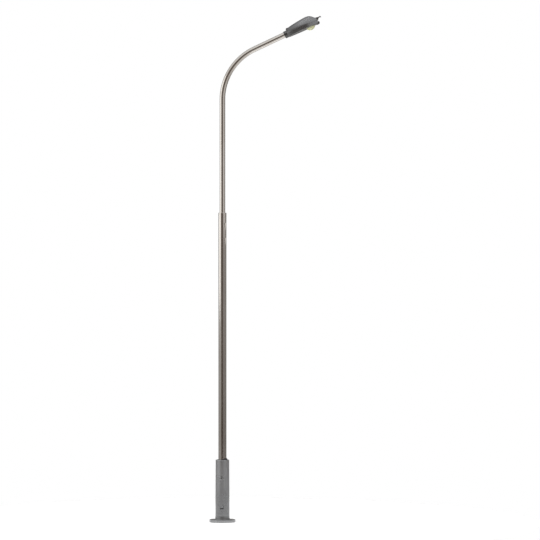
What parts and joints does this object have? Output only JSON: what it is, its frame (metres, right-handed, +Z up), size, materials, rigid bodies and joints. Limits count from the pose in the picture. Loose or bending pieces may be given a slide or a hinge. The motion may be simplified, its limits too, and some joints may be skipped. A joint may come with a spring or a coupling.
{
  "type": "street lamp post",
  "caption": "Stepped tubular street lamp column with a conical pedestal, bent rising arm and a hinged-canopy luminaire with a lens dome.",
  "frame": {"origin": "on the column's axis at the underside of the foot flange", "axes": "+Z up along the column, +X the way the arm reaches, -Y the way the access door faces"},
  "size_m": [1.7651, 0.41, 7.9834],
  "materials": {
    "grey_paint": "matte grey powder coat with a fine texture",
    "bright_tube": "polished steel with a warm nickel tone",
    "head_paint": "satin dark grey powder coat",
    "zinc_steel": "zinc plated",
    "black_rubber": "matte",
    "lens_plastic": "clear polycarbonate with a pale yellow-green tint",
    "aluminium": "bare, lightly brushed",
    "reflector_metal": "bright anodised",
    "led_phosphor": "yellow phosphor silicone",
    "board_timber": "sealed hardwood plywood",
    "black_plastic": "moulded, fine grain",
    "grey_plastic": "moulded, fine grain",
    "fuse_ceramic": "white ceramic body",
    "brass": "turned",
    "cable_sheath": "PVC sheath"
  },
  "bodies": {
    "post": {"base_flange": "grey_paint", "pedestal": "grey_paint", "neck_set_screws": "zinc_steel", "neck_seal": "black_rubber", "tube_centring_ring": "zinc_steel", "door_frame": "grey_paint", "door_hinge_pin": "zinc_steel", "vent_insert": "black_plastic", "backboard": "board_timber", "board_brackets": "zinc_steel", "board_screws": "zinc_steel", "cutout_body": "grey_plastic", "fuse_contacts": "brass", "supply_terminal_box": "grey_plastic", "earth_terminal": "brass", "cable_gland": "black_plastic", "column_cable": "cable_sheath", "lower_tube": "bright_tube", "reducing_collar": "bright_tube", "tube_rest_ring": "zinc_steel", "upper_tube": "bright_tube", "luminaire_housing": "head_paint", "spigot_clamp_screws": "zinc_steel", "socket_grommet": "black_rubber", "canopy_gasket": "black_rubber", "lens_gasket": "black_rubber", "lens_dome": "lens_plastic", "lens_ring": "aluminium", "ring_screws": "zinc_steel", "heatsink": "aluminium", "heatsink_screws": "zinc_steel", "led_board": "aluminium", "led_emitter": "led_phosphor", "led_connector": "grey_plastic", "reflector": "reflector_metal", "driver": "grey_plastic", "driver_screws": "zinc_steel", "terminal_block": "grey_plastic", "surge_protector": "black_plastic", "luminaire_wires": "cable_sheath", "canopy_hinge_pin": "zinc_steel", "lock_keeper": "zinc_steel", "latch_keeper": "head_paint", "nose_bumper": "head_paint", "keeper_screws": "zinc_steel"},
    "door": {"door": "grey_paint", "door_gasket": "black_rubber", "lock_plate": "grey_paint"},
    "lock": {"lock_barrel": "zinc_steel", "lock_cam": "zinc_steel", "cam_screw": "zinc_steel"},
    "fuse_carrier": {"fuse_carrier": "black_plastic", "cartridge_fuse": "fuse_ceramic"},
    "canopy": {"canopy": "head_paint", "latch_pin": "zinc_steel"},
    "latch": {"latch_lever": "head_paint"}
  },
  "joints": [
    {"name": "door_tilt", "type": "hinge", "parent": "post", "child": "door", "pos_m": [0, -0.11852, 0.247], "axis": [1, 0, 0], "range_deg": [0, 80]},
    {"name": "lock_turn", "type": "hinge", "parent": "door", "child": "lock", "pos_m": [0, -0.1, 0.699], "axis": [0, -1, 0], "range_deg": [0, 90]},
    {"name": "fuse_pull", "type": "slide", "parent": "post", "child": "fuse_carrier", "axis": [0, -1, 0], "range_m": [0, 0.045]},
    {"name": "canopy_open", "type": "hinge", "parent": "post", "child": "canopy", "pos_m": [1.01133, 0, 7.78691], "axis": [0, -1, 0], "range_deg": [0, 65]},
    {"name": "latch_turn", "type": "hinge", "parent": "canopy", "child": "latch", "pos_m": [1.50628, 0, 7.95591], "axis": [0, 1, 0], "range_deg": [0, 90]}
  ]
}
